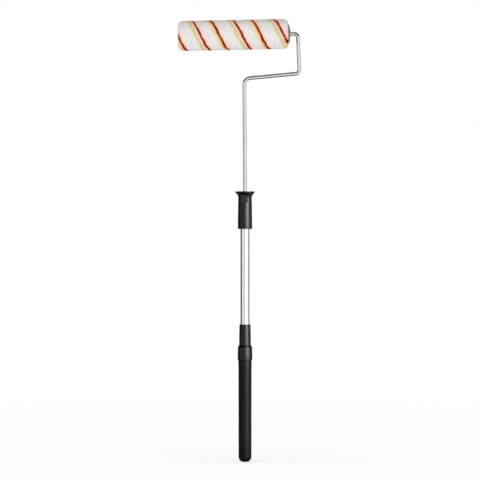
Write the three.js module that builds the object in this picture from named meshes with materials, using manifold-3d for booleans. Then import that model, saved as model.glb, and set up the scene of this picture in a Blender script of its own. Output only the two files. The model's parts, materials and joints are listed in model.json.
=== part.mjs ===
// Paint roller with a telescoping handle: a nap cover on a wire cage, a bent rod frame, a sliding
// tube with a twist lock, and a sleeved grip. Millimetres, +Z up the handle, +X towards the rod's
// outer leg, origin at the centre of the small flat on the butt of the handle.

import * as THREE from 'three';
import { mergeVertices } from 'three/addons/utils/BufferGeometryUtils.js';
import Module from 'manifold-3d';

const wasm = await Module();
wasm.setup();

// Fineness of the round shapes
const ROUND = 36;
const ROUND_SMALL = 24;
const WIRE_SIDES = 8;
const CORNER_STEPS = 5;

// Running clearance between neighbouring pieces, and how far a cutter overruns a face
const GAP = 0.3;
const OVERRUN = 1;

// Roller: a nine inch cover on an axle that rises slightly towards the outer leg
const COVER_LENGTH = 228.6;
const COVER_RADIUS = 31.75;
const NAP_CORNER = 9;
const CORE_INNER = 19.05;
const CORE_OUTER = 20.5;
const ROLLER_CENTRE_X = -24.5;
const ROLLER_CENTRE_Z = 883.3;
const AXLE_TILT = THREE.MathUtils.degToRad(1.15);

// Cage inside the cover
const CAP_SKIRT_RADIUS = 18.6;
const CAP_FLANGE_RADIUS = 20;
const CAP_PLATE = 1.2;
const CAP_DISH = 1.7;
const CAP_DEPTH = 11;
const CAP_RIM = 0.8;
const CAP_RING_INNER = 14;
const HUB_OUTER = 8.8;
const HUB_BORE = 6.6;
const HUB_DEPTH = 15;
const WIRE_COUNT = 5;
const WIRE_RADIUS = 1.25;
const WIRE_CIRCLE = 16.2;
const WIRE_BOW = 1.2;
const WIRE_GRIP = 7;
const WIRE_STATIONS = 10;
const BUSH_RADIUS = 6.3;
const BUSH_FLANGE = 8.2;
const BUSH_FLANGE_THICK = 0.9;
const AXLE_RING_RADIUS = 7;
const AXLE_RING_THICK = 1.2;
const CAP_INSET = 3;
const HOLE_SIDES = 12;

// Bent rod: corners of its centre line, then the bend at each
const ROD_RADIUS = 3.85;
const ROD_SIDES = 18;
const AXLE_END = 1.2;
const LEG_TOP_REACH = 133.7;
const LEG_FOOT_X = 112.7;
const LEG_FOOT_Z = 803.8;
const ARM_END_X = -1.3;
const ARM_END_Z = 793.1;
const SHANK_FOOT_Z = 575;
const SHANK_END_Z = 482;
const LEG_TOP_BEND = 8.5;
const LEG_FOOT_BEND = 8;
const ARM_END_BEND = 13;
const SHANK_FOOT_BEND = 300;
const BEND_STEPS = 7;

// Front collar, where the rod meets the sliding tube
const COLLAR_BOTTOM = 481.8;
const COLLAR_TOP = 559.5;
const COLLAR_FLANGE_RADIUS = 20.3;
const COLLAR_FLANGE_EDGE = 2.2;
const COLLAR_NECK_RADIUS = 14;
const COLLAR_NECK_Z = 547.5;
const COLLAR_FLARE_RADIUS = 15.7;
const COLLAR_FLARE_Z = 552.3;
const COLLAR_SHOULDER_RADIUS = 14.45;
const COLLAR_SHOULDER_Z = 528;
const COLLAR_TAPER_RADIUS = 14.15;
const COLLAR_TAPER_Z = 540;
const COLLAR_FOOT_RADIUS = 15;
const COLLAR_FOOT_ROUND = 1.2;
const RECESS_X = -1.5;
const RECESS_WIDTH = 14;
const RECESS_FOOT = 534;
const RECESS_TOP = 551;
const RECESS_FACE_Y = -12.4;

// Sliding tube
const TUBE_OUTER = 9.5;
const TUBE_INNER = 8.3;
const TUBE_BOTTOM = 176;
const TUBE_TOP = 521;
const INSERT_LENGTH = 45;
const PLUG_FLANGE = 8;
const PLUG_SPIGOT = 16;
const PLUG_BORE = 4;

// Twist lock
const NUT_BOTTOM = 210.9;
const NUT_TOP = 284.2;
const NUT_FOOT_RADIUS = 15.4;
const NUT_WAIST_RADIUS = 14.95;
const NUT_WAIST_Z = 236.4;
const NUT_NECK_RADIUS = 12.15;
const NUT_NECK_Z = 242;
const NUT_SLEEVE_RADIUS = 12.05;
const NUT_SLEEVE_Z = 264;
const NUT_LIP_RADIUS = 11.45;
const NUT_CHAMFER = 0.6;
const NUT_TUBE_GAP = 0.4;
const NUT_THREAD_RADIUS = 12.95;
const NUT_CONE_RADIUS = 11.95;
const NUT_CONE_TOP = 239.8;
const COLLET_INNER = 9.8;
const COLLET_BOTTOM = 222.3;
const COLLET_SHOULDER = 226;
const COLLET_TOP = 239.2;
const COLLET_FOOT_RADIUS = 12.5;
const COLLET_LIP_RADIUS = 11.45;
const COLLET_SLOTS = 3;
const COLLET_SLOT_WIDTH = 1.2;
const COLLET_SLOT_FOOT = 227;
const BASE_BOTTOM = 211;
const BASE_TOP = 221.7;
const BASE_INNER = 11.3;
const BASE_CREST = 12.6;
const BASE_ROOT = 12.1;
const BASE_THREADS = 4;
const CREST_START = 0.3;
const CREST_END = 0.7;

// Handle
const HANDLE_TUBE_INNER = 10.05;
const HANDLE_TUBE_OUTER = 11;
const HANDLE_TUBE_BOTTOM = 30.1;
const HANDLE_TUBE_TOP = 222;
const GRIP_TOP = 195.9;
const GRIP_BORE = 11.3;
const GRIP_FOOT_RADIUS = 13.33;
const GRIP_WAIST_RADIUS = 13.35;
const GRIP_SWELL = 0.12;
const GRIP_LOWER_Z = 63;
const GRIP_WAIST_Z = 90;
const GRIP_UPPER_Z = 121;
const GRIP_HEAD_RADIUS = 13.6;
const RING_BOTTOM = 196.2;
const RING_TOP = 210.5;
const RING_RADIUS = 13.9;
const RING_GROOVE_Z = 207.8;
const RING_GROOVE = 0.35;
const BUTT_TOP = 29.8;
const BUTT_RADIUS = 13.33;
const BUTT_DOME = 10.8;
const BUTT_FACE_RADIUS = 4;
const SPIGOT_RADIUS = 9.7;
const SPIGOT_INNER = 7.5;
const SPIGOT_TOP = 46;
const BUTT_FLOOR = 14.8;
const HANG_RECESS_X = 2;
const HANG_RECESS_Z = 6.4;
const HANG_RECESS_WIDTH = 9;
const HANG_RECESS_HEIGHT = 5;
const HANG_RECESS_FACE_Y = -9.5;

const CHROME = { color: 0xd5d6d8, roughness: 0.12, metalness: 1 };
const ALUMINIUM = { color: 0xd9dbda, roughness: 0.22, metalness: 1 };
const GALVANISED = { color: 0x9a9c9e, roughness: 0.4, metalness: 1 };
const NAP = { color: 0xe6e5e3, roughness: 1, metalness: 0 };
const CORE_PLASTIC = { color: 0xe9e6dc, roughness: 0.5, metalness: 0 };
const WHITE_NYLON = { color: 0xe4e2da, roughness: 0.45, metalness: 0 };
const BLACK_PLASTIC = { color: 0x1b1a1b, roughness: 0.38, metalness: 0 };
const GREY_PLASTIC = { color: 0x242424, roughness: 0.5, metalness: 0 };
const SOFT_BLACK = { color: 0x1f1b1d, roughness: 0.6, metalness: 0 };

/** Keep positions only, join shared vertices and drop triangles that have no area. */
function weld(geometry) {
  geometry.deleteAttribute('normal');
  geometry.deleteAttribute('uv');
  const merged = mergeVertices(geometry);
  const corners = Array.from(merged.index.array);
  const kept = [];
  for (let i = 0; i < corners.length; i += 3) {
    const [a, b, c] = corners.slice(i, i + 3);
    if (a !== b && b !== c && c !== a) {
      kept.push(a, b, c);
    }
  }
  merged.setIndex(kept);
  return merged;
}

function toSolid(geometry) {
  const welded = weld(geometry);
  return new wasm.Manifold(new wasm.Mesh({
    numProp: 3,
    vertProperties: Float32Array.from(welded.attributes.position.array),
    triVerts: Uint32Array.from(welded.index.array),
  }));
}

function toGeometry(solid) {
  const mesh = solid.getMesh();
  const geometry = new THREE.BufferGeometry();
  geometry.setAttribute('position', new THREE.BufferAttribute(mesh.vertProperties, mesh.numProp));
  geometry.setIndex(new THREE.BufferAttribute(mesh.triVerts, 1));
  return geometry;
}

/** Cut each tool away from a piece. */
function cut(geometry, tools) {
  const whole = toSolid(geometry);
  return toGeometry(tools.reduce((rest, tool) => rest.subtract(toSolid(tool)), whole));
}

/** Turn a profile of [radius, height] points about Z: up the outside, then down the inside. */
function turned(profile, sides = ROUND) {
  const points = profile.map(([radius, height]) => new THREE.Vector2(radius, height));
  return weld(new THREE.LatheGeometry(points, sides).rotateX(Math.PI / 2));
}

/** The same for a piece with a hole, whose profile closes on itself. */
function turnedRing(profile, sides = ROUND) {
  return turned([...profile, profile[0]], sides);
}

function tube(inner, outer, bottom, top, sides = ROUND) {
  return turnedRing([[inner, bottom], [outer, bottom], [outer, top], [inner, top]], sides);
}

/** Points on a quarter of an ellipse about a centre, from one angle in degrees to another. */
function quarter(centre, radii, from, to) {
  return Array.from({ length: CORNER_STEPS + 1 }, (_, i) => {
    const angle = THREE.MathUtils.degToRad(from + ((to - from) * i) / CORNER_STEPS);
    return [centre[0] + radii[0] * Math.cos(angle), centre[1] + radii[1] * Math.sin(angle)];
  });
}

/** A centre line given by stations, so that a sweep has a section only where the line turns. */
class StationLine extends THREE.Curve {
  constructor(stations) {
    super();
    this.stations = stations;
  }

  station(t) {
    return this.stations[Math.round(t * (this.stations.length - 1))];
  }

  getPoint(t) {
    return this.station(t).point.clone();
  }

  getPointAt(t) {
    return this.getPoint(t);
  }

  getTangent(t) {
    return this.station(t).heading.clone();
  }

  getTangentAt(t) {
    return this.getTangent(t);
  }
}

/** Sweep a round section along the stations of a line. */
function roundBar(radius, stations, sides) {
  const section = new THREE.Shape().absarc(0, 0, radius, 0, 2 * Math.PI);
  return weld(new THREE.ExtrudeGeometry(section, {
    steps: stations.length - 1,
    extrudePath: new StationLine(stations),
    curveSegments: sides / 2,
  }));
}

/** Stations of a line with straight runs between corners and a round bend at each inner corner. */
function bentLine(corners, bends) {
  const headings = corners.slice(1).map((corner, i) => corner.clone().sub(corners[i]).normalize());
  const stations = [{ point: corners[0], heading: headings[0] }];
  bends.forEach((radius, i) => {
    const [before, after] = [headings[i], headings[i + 1]];
    const turn = before.angleTo(after);
    const inward = after.clone().addScaledVector(before, -after.dot(before)).normalize();
    const start = corners[i + 1].clone().addScaledVector(before, -radius * Math.tan(turn / 2));
    const centre = start.clone().addScaledVector(inward, radius);
    for (let step = 0; step <= BEND_STEPS; step += 1) {
      const angle = (turn * step) / BEND_STEPS;
      const heading = before.clone().multiplyScalar(Math.cos(angle));
      heading.addScaledVector(inward, Math.sin(angle));
      const point = centre.clone().addScaledVector(inward, -radius * Math.cos(angle));
      point.addScaledVector(before, radius * Math.sin(angle));
      stations.push({ point, heading });
    }
  });
  stations.push({ point: corners[corners.length - 1], heading: headings[headings.length - 1] });
  return stations;
}

/** Add a piece to a group under its own name and with its own material. */
function add(group, name, geometry, finish) {
  const mesh = new THREE.Mesh(geometry, new THREE.MeshStandardMaterial(finish));
  mesh.name = name;
  group.add(mesh);
}

const paintRoller = new THREE.Group();

// The roller is built about its axle: its own Z runs along the axle towards the rod's outer leg.
const roller = new THREE.Group();
roller.position.set(ROLLER_CENTRE_X, 0, ROLLER_CENTRE_Z);
roller.rotation.y = Math.PI / 2 - AXLE_TILT;
paintRoller.add(roller);

/** A point on the axle at a distance from the middle of the cover. */
function onAxle(distance) {
  roller.updateMatrixWorld();
  return new THREE.Vector3(0, 0, distance).applyMatrix4(roller.matrixWorld);
}

const coverEnd = COVER_LENGTH / 2;
const rodBore = ROD_RADIUS + GAP;

function napCover() {
  const inside = CORE_OUTER + GAP;
  const cornerRadius = COVER_RADIUS - NAP_CORNER;
  return turnedRing([
    [inside, -coverEnd],
    ...quarter([cornerRadius, NAP_CORNER - coverEnd], [NAP_CORNER, NAP_CORNER], -90, 0),
    ...quarter([cornerRadius, coverEnd - NAP_CORNER], [NAP_CORNER, NAP_CORNER], 0, 90),
    [inside, coverEnd],
  ]);
}

/** Places round the axle where a cage wire enters a cap. */
function wireAngles() {
  return Array.from({ length: WIRE_COUNT }, (_, i) => (2 * Math.PI * (i + 0.5)) / WIRE_COUNT);
}

/** A cage cap that faces +Z: dished plate, wire ring and hub. Only the inner cap has a flange. */
function cageCap(face, flange) {
  const rimTop = face + CAP_PLATE;
  const rim = flange
    ? [[CAP_SKIRT_RADIUS, face], [CAP_FLANGE_RADIUS, face], [CAP_FLANGE_RADIUS, face + CAP_RIM]]
    : [[CAP_SKIRT_RADIUS, rimTop]];
  const body = turnedRing([
    [HUB_BORE, face - HUB_DEPTH],
    [HUB_OUTER, face - HUB_DEPTH],
    [HUB_OUTER, face],
    [CAP_RING_INNER, face],
    [CAP_RING_INNER, face - CAP_DEPTH],
    [CAP_SKIRT_RADIUS, face - CAP_DEPTH],
    ...rim,
    [HUB_OUTER, rimTop + CAP_DISH],
    [HUB_BORE, rimTop + CAP_DISH],
  ]);
  const holeDepth = WIRE_GRIP + OVERRUN;
  const holes = wireAngles().map((angle) => {
    const hole = new THREE.CylinderGeometry(WIRE_RADIUS + GAP, WIRE_RADIUS + GAP, holeDepth, HOLE_SIDES);
    hole.rotateX(Math.PI / 2);
    const middle = face - CAP_DEPTH - OVERRUN + holeDepth / 2;
    return hole.translate(WIRE_CIRCLE * Math.cos(angle), WIRE_CIRCLE * Math.sin(angle), middle);
  });
  return cut(body, holes);
}

/** One cage wire, bowed outwards between the caps so that it grips the cover's core. */
function cageWire(angle, reach) {
  const stations = Array.from({ length: WIRE_STATIONS + 1 }, (_, i) => {
    const along = -1 + (2 * i) / WIRE_STATIONS;
    const radius = WIRE_CIRCLE + WIRE_BOW * (1 - along * along);
    const slope = (-2 * WIRE_BOW * along) / reach;
    return {
      point: new THREE.Vector3(radius * Math.cos(angle), radius * Math.sin(angle), along * reach),
      heading: new THREE.Vector3(slope * Math.cos(angle), slope * Math.sin(angle), 1).normalize(),
    };
  });
  return roundBar(WIRE_RADIUS, stations, WIRE_SIDES);
}

/** A flanged bush for a cap that faces +Z. */
function axleBush(face) {
  const outside = face + CAP_PLATE + CAP_DISH + GAP;
  return turnedRing([
    [rodBore, face - HUB_DEPTH],
    [BUSH_RADIUS, face - HUB_DEPTH],
    [BUSH_RADIUS, outside],
    [BUSH_FLANGE, outside],
    [BUSH_FLANGE, outside + BUSH_FLANGE_THICK],
    [rodBore, outside + BUSH_FLANGE_THICK],
  ], ROUND_SMALL);
}

const innerFace = coverEnd + GAP;
const outerFace = coverEnd - CAP_PLATE - CAP_DISH - BUSH_FLANGE_THICK - AXLE_RING_THICK - CAP_INSET;
const outerBushEnd = outerFace + CAP_PLATE + CAP_DISH + GAP + BUSH_FLANGE_THICK;
const wireShift = (innerFace - outerFace) / 2;
const wireReach = outerFace - CAP_DEPTH + WIRE_GRIP - GAP;
const halfTurn = Math.PI;

add(roller, 'nap_cover', napCover(), NAP);
add(roller, 'cover_core', tube(CORE_INNER, CORE_OUTER, -coverEnd, coverEnd), CORE_PLASTIC);
add(roller, 'cage_cap_inner', cageCap(innerFace, true), GALVANISED);
add(roller, 'cage_cap_outer', cageCap(outerFace, false).rotateX(halfTurn), GALVANISED);
wireAngles().forEach((angle, i) => {
  const wire = cageWire(angle, wireReach + wireShift).translate(0, 0, wireShift);
  add(roller, `cage_wire_${i + 1}`, wire, GALVANISED);
});
add(roller, 'axle_bush_inner', axleBush(innerFace), WHITE_NYLON);
add(roller, 'axle_bush_outer', axleBush(outerFace).rotateX(halfTurn), WHITE_NYLON);

// A push-on nut outside the outer bush and a stop ring inside it keep the cage on the axle.
const pushNut = tube(rodBore, AXLE_RING_RADIUS, 0, AXLE_RING_THICK, ROUND_SMALL);
const stopRing = tube(rodBore, AXLE_RING_RADIUS, 0, AXLE_RING_THICK, ROUND_SMALL);
pushNut.translate(0, 0, -outerBushEnd - GAP - AXLE_RING_THICK);
stopRing.translate(0, 0, HUB_DEPTH - outerFace + GAP);
add(roller, 'axle_push_nut', pushNut, GALVANISED);
add(roller, 'axle_stop_ring', stopRing, GALVANISED);

/** The one bent rod: axle, outer leg, lower arm and shank. */
function frameRod() {
  const corners = [
    onAxle(AXLE_END - coverEnd),
    onAxle(LEG_TOP_REACH),
    new THREE.Vector3(LEG_FOOT_X, 0, LEG_FOOT_Z),
    new THREE.Vector3(ARM_END_X, 0, ARM_END_Z),
    new THREE.Vector3(0, 0, SHANK_FOOT_Z),
    new THREE.Vector3(0, 0, SHANK_END_Z),
  ];
  const bends = [LEG_TOP_BEND, LEG_FOOT_BEND, ARM_END_BEND, SHANK_FOOT_BEND];
  return roundBar(ROD_RADIUS, bentLine(corners, bends), ROD_SIDES);
}

add(paintRoller, 'frame_rod', frameRod(), CHROME);

/** A flat-faced slot that opens towards -Y, with a round lower end and a square top. */
function frontRecess(centreX, faceY, width, foot, top) {
  const half = width / 2;
  const outline = new THREE.Shape().absarc(0, foot + half, half, Math.PI, 2 * Math.PI);
  outline.lineTo(half, top);
  outline.lineTo(-half, top);
  const depth = COLLAR_FLANGE_RADIUS;
  const block = new THREE.ExtrudeGeometry(outline, { depth, bevelEnabled: false, curveSegments: 8 });
  return block.rotateX(Math.PI / 2).translate(centreX, faceY, 0);
}

/** Collar: a plain body, a narrower neck and a wide flange that keeps paint off the hand. */
function frontCollar() {
  const tubeBore = TUBE_OUTER + GAP;
  const step = TUBE_TOP + GAP;
  const body = turnedRing([
    [tubeBore, COLLAR_BOTTOM],
    [COLLAR_FOOT_RADIUS - COLLAR_FOOT_ROUND, COLLAR_BOTTOM],
    [COLLAR_FOOT_RADIUS, COLLAR_BOTTOM + COLLAR_FOOT_ROUND],
    [COLLAR_SHOULDER_RADIUS, COLLAR_SHOULDER_Z],
    [COLLAR_TAPER_RADIUS, COLLAR_TAPER_Z],
    [COLLAR_NECK_RADIUS, COLLAR_NECK_Z],
    [COLLAR_FLARE_RADIUS, COLLAR_FLARE_Z],
    [COLLAR_FLANGE_RADIUS, COLLAR_TOP - COLLAR_FLANGE_EDGE],
    [COLLAR_FLANGE_RADIUS, COLLAR_TOP],
    [rodBore, COLLAR_TOP],
    [rodBore, step],
    [tubeBore, step],
  ]);
  const recess = frontRecess(RECESS_X, RECESS_FACE_Y, RECESS_WIDTH, RECESS_FOOT, RECESS_TOP);
  return cut(body, [recess]);
}

function glidePlug() {
  return turnedRing([
    [PLUG_BORE, TUBE_BOTTOM - GAP - PLUG_FLANGE],
    [HANDLE_TUBE_INNER - GAP, TUBE_BOTTOM - GAP - PLUG_FLANGE],
    [HANDLE_TUBE_INNER - GAP, TUBE_BOTTOM - GAP],
    [TUBE_INNER - GAP, TUBE_BOTTOM - GAP],
    [TUBE_INNER - GAP, TUBE_BOTTOM + PLUG_SPIGOT],
    [PLUG_BORE, TUBE_BOTTOM + PLUG_SPIGOT],
  ], ROUND_SMALL);
}

const insertRadius = TUBE_INNER - GAP;
const insertBottom = TUBE_TOP - INSERT_LENGTH;
const insert = tube(rodBore, insertRadius, insertBottom, TUBE_TOP, ROUND_SMALL);
add(paintRoller, 'front_collar', frontCollar(), BLACK_PLASTIC);
add(paintRoller, 'shank_insert', insert, WHITE_NYLON);
add(paintRoller, 'inner_tube', tube(TUBE_INNER, TUBE_OUTER, TUBE_BOTTOM, TUBE_TOP), ALUMINIUM);
add(paintRoller, 'glide_plug', glidePlug(), WHITE_NYLON);

/** Lock nut: a wide threaded skirt under a slim sleeve, with a cone inside that closes the collet. */
function lockNut() {
  const tubeBore = TUBE_OUTER + NUT_TUBE_GAP;
  return turnedRing([
    [NUT_THREAD_RADIUS, NUT_BOTTOM],
    [NUT_FOOT_RADIUS - NUT_CHAMFER, NUT_BOTTOM],
    [NUT_FOOT_RADIUS, NUT_BOTTOM + NUT_CHAMFER],
    [NUT_WAIST_RADIUS, NUT_WAIST_Z],
    [NUT_NECK_RADIUS, NUT_NECK_Z],
    [NUT_SLEEVE_RADIUS, NUT_SLEEVE_Z],
    [NUT_LIP_RADIUS, NUT_TOP - NUT_CHAMFER],
    [NUT_LIP_RADIUS - NUT_CHAMFER, NUT_TOP],
    [tubeBore, NUT_TOP],
    [tubeBore, NUT_CONE_TOP],
    [NUT_CONE_RADIUS, NUT_CONE_TOP],
    [NUT_THREAD_RADIUS, COLLET_SHOULDER],
  ]);
}

/** Collet: fingers round the sliding tube, joined by a ring that stands on the handle tube. */
function lockCollet() {
  const body = turnedRing([
    [COLLET_INNER, COLLET_BOTTOM],
    [COLLET_FOOT_RADIUS, COLLET_BOTTOM],
    [COLLET_FOOT_RADIUS, COLLET_SHOULDER],
    [COLLET_LIP_RADIUS, COLLET_TOP],
    [COLLET_INNER, COLLET_TOP],
  ]);
  const height = COLLET_TOP - COLLET_SLOT_FOOT + OVERRUN;
  const length = 2 * (COLLET_FOOT_RADIUS + OVERRUN);
  const slots = Array.from({ length: COLLET_SLOTS }, (_, i) => {
    const slot = new THREE.BoxGeometry(length, COLLET_SLOT_WIDTH, height);
    slot.rotateZ((Math.PI * (i + 0.5)) / COLLET_SLOTS);
    return slot.translate(0, 0, COLLET_SLOT_FOOT + height / 2);
  });
  return cut(body, slots);
}

/** Lock base: a ferrule on the top of the handle tube, with a coarse thread drawn as rings. */
function lockBase() {
  const pitch = (BASE_TOP - BASE_BOTTOM) / BASE_THREADS;
  const thread = Array.from({ length: BASE_THREADS }, (_, i) => {
    const foot = BASE_BOTTOM + i * pitch;
    return [
      [BASE_ROOT, foot],
      [BASE_CREST, foot + CREST_START * pitch],
      [BASE_CREST, foot + CREST_END * pitch],
    ];
  });
  return turnedRing([
    [BASE_INNER, BASE_BOTTOM],
    ...thread.flat(),
    [BASE_ROOT, BASE_TOP],
    [BASE_INNER, BASE_TOP],
  ], ROUND_SMALL);
}

add(paintRoller, 'lock_nut', lockNut(), BLACK_PLASTIC);
add(paintRoller, 'lock_collet', lockCollet(), WHITE_NYLON);
add(paintRoller, 'lock_base', lockBase(), WHITE_NYLON);

/** Grip: a soft sleeve, slimmer below its middle. */
function gripSleeve() {
  return turnedRing([
    [GRIP_BORE, HANDLE_TUBE_BOTTOM],
    [GRIP_FOOT_RADIUS, HANDLE_TUBE_BOTTOM],
    [GRIP_WAIST_RADIUS + GRIP_SWELL, GRIP_LOWER_Z],
    [GRIP_WAIST_RADIUS, GRIP_WAIST_Z],
    [GRIP_WAIST_RADIUS + GRIP_SWELL, GRIP_UPPER_Z],
    [GRIP_HEAD_RADIUS, GRIP_TOP],
    [GRIP_BORE, GRIP_TOP],
  ]);
}

function gripRing() {
  return turnedRing([
    [GRIP_BORE, RING_BOTTOM],
    [RING_RADIUS, RING_BOTTOM],
    [RING_RADIUS, RING_GROOVE_Z - RING_GROOVE],
    [RING_RADIUS - RING_GROOVE, RING_GROOVE_Z],
    [RING_RADIUS, RING_GROOVE_Z + RING_GROOVE],
    [RING_RADIUS, RING_TOP],
    [GRIP_BORE, RING_TOP],
  ]);
}

/** End cap: a domed plug with a hollow spigot in the handle tube and a shallow hanging recess. */
function endCap() {
  const dome = quarter([BUTT_FACE_RADIUS, BUTT_DOME], [BUTT_RADIUS - BUTT_FACE_RADIUS, BUTT_DOME], -90, 0);
  const body = turned([
    [0, 0],
    ...dome,
    [BUTT_RADIUS, BUTT_TOP],
    [SPIGOT_RADIUS, BUTT_TOP],
    [SPIGOT_RADIUS, SPIGOT_TOP],
    [SPIGOT_INNER, SPIGOT_TOP],
    [SPIGOT_INNER, BUTT_FLOOR],
    [0, BUTT_FLOOR],
  ]);
  const foot = HANG_RECESS_Z - HANG_RECESS_HEIGHT / 2;
  const top = foot + HANG_RECESS_HEIGHT;
  const recess = frontRecess(HANG_RECESS_X, HANG_RECESS_FACE_Y, HANG_RECESS_WIDTH, foot, top);
  return cut(body, [recess]);
}

const handleTube = tube(HANDLE_TUBE_INNER, HANDLE_TUBE_OUTER, HANDLE_TUBE_BOTTOM, HANDLE_TUBE_TOP);
add(paintRoller, 'outer_tube', handleTube, ALUMINIUM);
add(paintRoller, 'grip_sleeve', gripSleeve(), SOFT_BLACK);
add(paintRoller, 'grip_ring', gripRing(), BLACK_PLASTIC);
add(paintRoller, 'end_cap', endCap(), GREY_PLASTIC);

export default paintRoller;
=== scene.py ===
import json
import math

import bpy
import numpy as np
from mathutils import Matrix, Vector, noise


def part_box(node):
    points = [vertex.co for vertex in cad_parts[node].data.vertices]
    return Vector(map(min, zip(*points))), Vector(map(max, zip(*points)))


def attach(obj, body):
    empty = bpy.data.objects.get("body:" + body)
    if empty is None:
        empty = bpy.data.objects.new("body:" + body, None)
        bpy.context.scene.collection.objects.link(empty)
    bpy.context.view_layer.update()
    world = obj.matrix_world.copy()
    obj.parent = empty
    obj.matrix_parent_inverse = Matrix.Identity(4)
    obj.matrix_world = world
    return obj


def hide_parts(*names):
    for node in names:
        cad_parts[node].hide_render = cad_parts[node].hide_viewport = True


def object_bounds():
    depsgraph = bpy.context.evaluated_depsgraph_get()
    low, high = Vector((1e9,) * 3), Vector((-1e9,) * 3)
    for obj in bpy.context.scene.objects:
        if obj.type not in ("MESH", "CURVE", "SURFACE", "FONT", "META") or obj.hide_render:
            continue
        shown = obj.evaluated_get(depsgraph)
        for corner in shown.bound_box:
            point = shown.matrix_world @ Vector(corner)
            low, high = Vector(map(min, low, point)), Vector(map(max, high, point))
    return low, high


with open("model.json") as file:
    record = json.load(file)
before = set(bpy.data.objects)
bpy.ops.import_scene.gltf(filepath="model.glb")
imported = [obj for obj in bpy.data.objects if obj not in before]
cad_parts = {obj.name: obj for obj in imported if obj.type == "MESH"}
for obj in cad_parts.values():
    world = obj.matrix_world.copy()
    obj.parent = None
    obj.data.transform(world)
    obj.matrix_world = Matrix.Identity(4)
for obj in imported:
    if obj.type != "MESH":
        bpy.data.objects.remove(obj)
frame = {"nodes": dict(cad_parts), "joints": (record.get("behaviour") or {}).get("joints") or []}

MM = 0.001
CAD_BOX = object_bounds()


# ---------------------------------------------------------------- places, from the frame

JOINTS = {joint["name"]: joint for joint in frame["joints"]}
AXLE = Vector(JOINTS["roller_spin"]["axis"]).normalized()
ROLLER_CENTRE = Vector(JOINTS["roller_spin"]["pos_m"])
TOWARDS_FRONT = Vector((0, -1, 0))
AXLE_DOWN = AXLE.cross(TOWARDS_FRONT)


def roller_frame():
    """Roller space: X to the front, Y down, Z along the axle towards the rod's outer leg."""
    turn = Matrix((TOWARDS_FRONT, AXLE_DOWN, AXLE)).transposed().to_4x4()
    return Matrix.Translation(ROLLER_CENTRE) @ turn


def upright(name):
    """Foot, top and outer radius of an upright round node, in millimetres."""
    lowest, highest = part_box(name)
    return lowest[2] / MM, highest[2] / MM, (highest[0] - lowest[0]) / 2 / MM


def on_roller(name):
    """Lowest and highest place along the axle and outer radius of a roller node, in millimetres."""
    back = roller_frame().inverted()
    points = [back @ vertex.co for vertex in frame["nodes"][name].data.vertices]
    outer = max(math.hypot(point.x, point.y) for point in points)
    return min(p.z for p in points) / MM, max(p.z for p in points) / MM, outer / MM


# ---------------------------------------------------------------- mesh helpers

SHARP_ANGLE = 32
CUT_SHARP_ANGLE = 21
ALL_SMOOTH = 180
ARC_STEPS = 16
FILLET_STEPS = 5
FILLET_SHARE = 0.49
TURNED_SIDES = 120
ON_AXIS = 1e-4
BAR_SIDES = 40
BAR_END_ROUND = 0.25
BEND_STEPS = 20
SLOT_STEPS = 24
HOLE_SIDES = 24
GROOVE_FILLET = 0.2


def mesh_object(name, vertices, faces, place=None, sharp_angle=SHARP_ANGLE):
    """A smooth-shaded object from vertices and faces, with edges kept sharp past an angle."""
    mesh = bpy.data.meshes.new(name)
    mesh.from_pydata([tuple(v) for v in vertices], [], [tuple(f) for f in faces])
    mesh.validate()
    mesh.shade_smooth()
    mesh.set_sharp_from_angle(angle=math.radians(sharp_angle))
    made = bpy.data.objects.new(name, mesh)
    bpy.context.scene.collection.objects.link(made)
    if place is not None:
        made.matrix_world = place
    return made


def arc(centre, radii, start, end, steps=ARC_STEPS):
    """Points of an elliptical arc between two angles in degrees."""
    angles = [math.radians(start + (end - start) * step / steps) for step in range(steps + 1)]
    return [(centre[0] + radii[0] * math.cos(a), centre[1] + radii[1] * math.sin(a)) for a in angles]


def fillet(corners, closed, steps):
    """Round an outline's corners. A corner is (radius, height) or (radius, height, fillet)."""
    outline = []
    count = len(corners)
    for i, corner in enumerate(corners):
        here = Vector(corner[:2])
        size = corner[2] if len(corner) > 2 else 0
        if not size or (not closed and i in (0, count - 1)):
            outline.append(here)
            continue
        before = Vector(corners[i - 1][:2]) - here
        after = Vector(corners[(i + 1) % count][:2]) - here
        half = before.angle(after) / 2
        longest = FILLET_SHARE * min(before.length, after.length)
        reach = min(size / math.tan(half), longest)
        start = here + before.normalized() * reach
        end = here + after.normalized() * reach
        for step in range(steps + 1):
            t = step / steps
            outline.append(start * (1 - t) ** 2 + here * 2 * t * (1 - t) + end * t ** 2)
    return outline


def turned(name, corners, place=None, closed=True, steps=FILLET_STEPS, press=None):
    """Turn an outline in millimetres about Z: up the outside, then down the inside.

    An open outline starts and ends on the axis. press(radius, height, angle) gives the
    millimetres by which a place is raised."""
    sides = TURNED_SIDES
    vertices = []
    rings = []
    for point in fillet(corners, closed, steps):
        if point.x < ON_AXIS:
            rings.append([len(vertices)] * sides)
            vertices.append((0, 0, point.y * MM))
            continue
        rings.append(list(range(len(vertices), len(vertices) + sides)))
        radius = point.x * MM
        for side in range(sides):
            angle = 2 * math.pi * side / sides
            height = point.y + (press(point.x, point.y, angle) if press else 0)
            vertices.append((radius * math.cos(angle), radius * math.sin(angle), height * MM))
    faces = []
    for lower, upper in zip(rings, rings[1:] + rings[:1] if closed else rings[1:]):
        for side in range(sides):
            after = (side + 1) % sides
            corner_ids = [lower[side], lower[after], upper[after], upper[side]]
            faces.append(list(dict.fromkeys(corner_ids)))
    return mesh_object(name, vertices, faces, place)


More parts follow.
